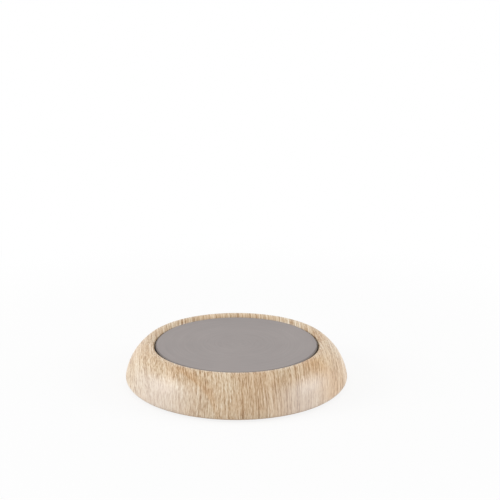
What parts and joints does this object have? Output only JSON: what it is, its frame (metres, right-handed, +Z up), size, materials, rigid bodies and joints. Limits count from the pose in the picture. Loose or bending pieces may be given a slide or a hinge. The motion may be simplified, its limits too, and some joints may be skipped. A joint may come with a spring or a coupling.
{
  "type": "electric mug warmer",
  "caption": "Low round desk warmer: wood-look ring round a recessed heated metal plate, with a rocker switch and a power inlet in a bay at the back.",
  "frame": {"origin": "where the ring's axis meets the surface that the feet stand on", "axes": "+Z up along the ring's axis, +Y towards the back with the switch and inlet, +X to the right seen from the front"},
  "size_m": [0.1, 0.1, 0.0179],
  "materials": {
    "wood_print": "moulded ABS with a light beech grain film, semi-matte",
    "satin_aluminium": "satin, finely turned",
    "seal_silicone": "matte silicone",
    "polyimide_film": "amber film",
    "etched_foil": "etched resistance foil",
    "fibre_felt": "pressed glass-fibre felt",
    "zinc_steel": "zinc-plated sheet",
    "screw_steel": "nickel-plated",
    "case_steel": "drawn tinplate",
    "phenolic": "moulded phenolic",
    "contact_brass": "stamped strip",
    "bimetal": "rolled bimetal",
    "fuse_ceramic": "glazed body on tinned leads",
    "sleeve_fibre": "varnished glass-fibre sleeve",
    "cover_plastic": "fine spark-eroded moulding grain",
    "foot_rubber": "matte rubber",
    "switch_nylon": "fine matte",
    "rocker_plastic": "satin black",
    "plunger_acetal": "natural acetal",
    "spring_steel": "drawn wire",
    "pin_nickel": "bright nickel",
    "wire_red": "silicone insulation",
    "wire_black": "silicone insulation"
  },
  "bodies": {
    "base": {"ring_shell": "wood_print", "heating_plate": "satin_aluminium", "plate_seal": "seal_silicone", "heater_film": "polyimide_film", "heater_track": "etched_foil", "insulation_pad": "fibre_felt", "clamp_plate": "zinc_steel", "clamp_screws": "screw_steel", "thermostat_case": "case_steel", "thermostat_plug": "phenolic", "thermostat_fixed_contact": "contact_brass", "thermostat_blade_terminal": "contact_brass", "thermostat_clip": "zinc_steel", "clip_screws": "screw_steel", "thermal_fuse": "fuse_ceramic", "fuse_sleeve": "sleeve_fibre", "base_cover": "cover_plastic", "base_screws": "screw_steel", "foot_front_right": "foot_rubber", "foot_rear_right": "foot_rubber", "foot_rear_left": "foot_rubber", "foot_front_left": "foot_rubber", "switch_housing": "switch_nylon", "switch_terminal_common": "contact_brass", "switch_terminal_load": "contact_brass", "inlet_housing": "switch_nylon", "inlet_centre_pin": "pin_nickel", "inlet_spring_contact": "contact_brass", "wire_inlet_to_switch": "wire_red", "wire_switch_to_thermostat": "wire_red", "wire_thermostat_to_fuse": "wire_red", "wire_fuse_to_heater": "wire_red", "wire_heater_to_inlet": "wire_black"},
    "rocker": {"rocker": "rocker_plastic", "plunger_spring": "spring_steel"},
    "plunger": {"rocker_plunger": "plunger_acetal"},
    "lever": {"contact_lever": "contact_brass"},
    "blade": {"bimetal_blade": "bimetal"}
  },
  "joints": [
    {"name": "rocker_tilt", "type": "hinge", "parent": "base", "child": "rocker", "pos_m": [-0.0072, 0.042, 0.0083], "axis": [0, 0, 1], "range_deg": [0, 26]},
    {"name": "lever_tilt", "type": "hinge", "parent": "base", "child": "lever", "pos_m": [-0.0072, 0.0369, 0.0083], "axis": [0, 0, 1], "range_deg": [-12, 0]},
    {"name": "plunger_slide", "type": "slide", "parent": "rocker", "child": "plunger", "axis": [0.225, 0.9744, 0], "range_m": [0, 0.0004], "stiffness_N_per_m": 300, "springref_m": -0.0005, "deforming": ["plunger_spring"]},
    {"name": "blade_snap", "type": "hinge", "parent": "base", "child": "blade", "pos_m": [-0.009, 0.0074, 0.01348], "axis": [-1, 0, 0], "range_deg": [0, 5], "stiffness_Nm_per_rad": 0.002}
  ],
  "couplings": [
    {"joint": "lever_tilt", "follows": "rocker_tilt", "ratio": -0.46154}
  ]
}
